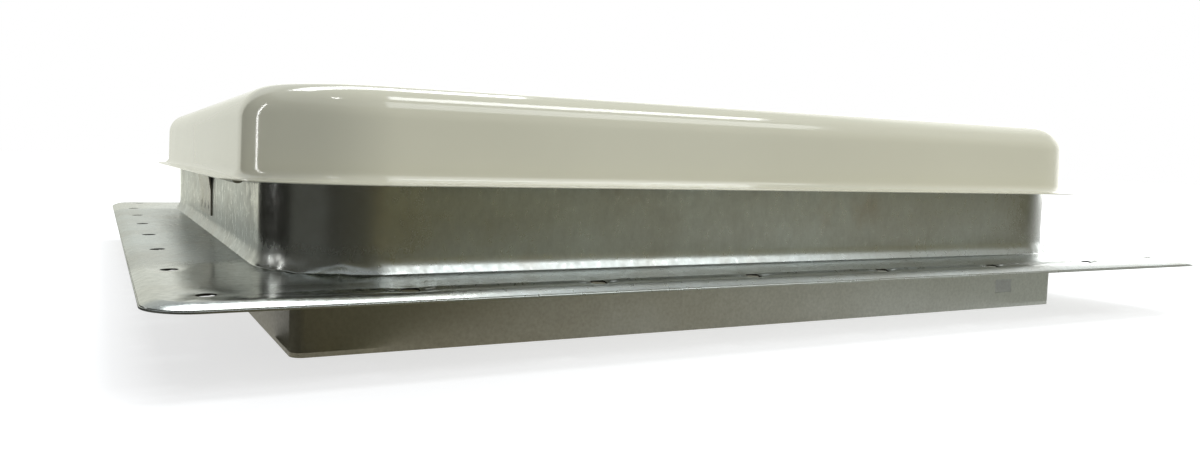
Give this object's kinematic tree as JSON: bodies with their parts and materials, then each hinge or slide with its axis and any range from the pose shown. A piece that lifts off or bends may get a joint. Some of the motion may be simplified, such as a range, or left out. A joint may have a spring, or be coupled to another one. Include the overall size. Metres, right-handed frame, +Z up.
{
  "type": "caravan roof vent",
  "caption": "Square caravan roof vent: galvanised base with screw flange, curb and throat, hinged white steel lid with crossed ribs, crank lift and insect screen.",
  "frame": {"origin": "centre of the screw hole square, on the roof surface under the flange plate", "axes": "+Z up and out of the roof, hinge along Y on the -X side, +X towards the edge of the lid that lifts"},
  "size_m": [0.4444, 0.4444, 0.087],
  "materials": {
    "galvanised_sheet": "bright galvanised sheet, dark reflections, faint spangle",
    "throat_sheet": "galvanised sheet in shade, olive grey",
    "plated_steel": "zinc plated, satin",
    "white_paint": "gloss off-white enamel",
    "foam_seal": "closed cell foam rubber, matt",
    "black_rubber": "matt black spline",
    "screen_aluminium": "mill finish",
    "screen_wire": "woven wire, grey",
    "grey_housing": "glass filled nylon, matt",
    "white_nylon": "natural nylon",
    "knob_plastic": "off-white moulded plastic, satin"
  },
  "bodies": {
    "base": {"base_frame": "galvanised_sheet", "throat_frame": "throat_sheet", "hinge_bracket": "plated_steel", "hinge_rod": "plated_steel", "screen_frame": "screen_aluminium", "screen_mesh": "screen_wire", "screen_spline": "black_rubber", "operator_bar": "plated_steel", "operator_housing": "grey_housing"},
    "lid": {"lid_shell": "white_paint", "lid_seal": "foam_seal", "hinge_leaf_front": "plated_steel", "hinge_leaf_rear": "plated_steel", "lift_rail": "plated_steel"},
    "arm": {"lift_arm": "plated_steel", "arm_shaft": "plated_steel", "slot_pin": "plated_steel", "slot_bush_front": "white_nylon", "slot_bush_rear": "white_nylon"},
    "crank": {"crank_shaft": "plated_steel", "crank_knob": "knob_plastic"}
  },
  "joints": [
    {"name": "lid_hinge", "type": "hinge", "parent": "base", "child": "lid", "pos_m": [-0.18795, 0, 0.0286], "axis": [0, -1, 0], "range_deg": [0, 50]},
    {"name": "arm_pivot", "type": "hinge", "parent": "base", "child": "arm", "pos_m": [-0.03941, 0, 0.0077], "axis": [0, -1, 0], "range_deg": [0, 100]},
    {"name": "crank_turn", "type": "hinge", "parent": "base", "child": "crank", "pos_m": [-0.06041, 0.0088, 0], "axis": [0, 0, 1], "range_deg": [0, 1800]}
  ],
  "couplings": [
    {"joint": "arm_pivot", "follows": "lid_hinge", "ratio": 2},
    {"joint": "crank_turn", "follows": "lid_hinge", "ratio": 36}
  ]
}
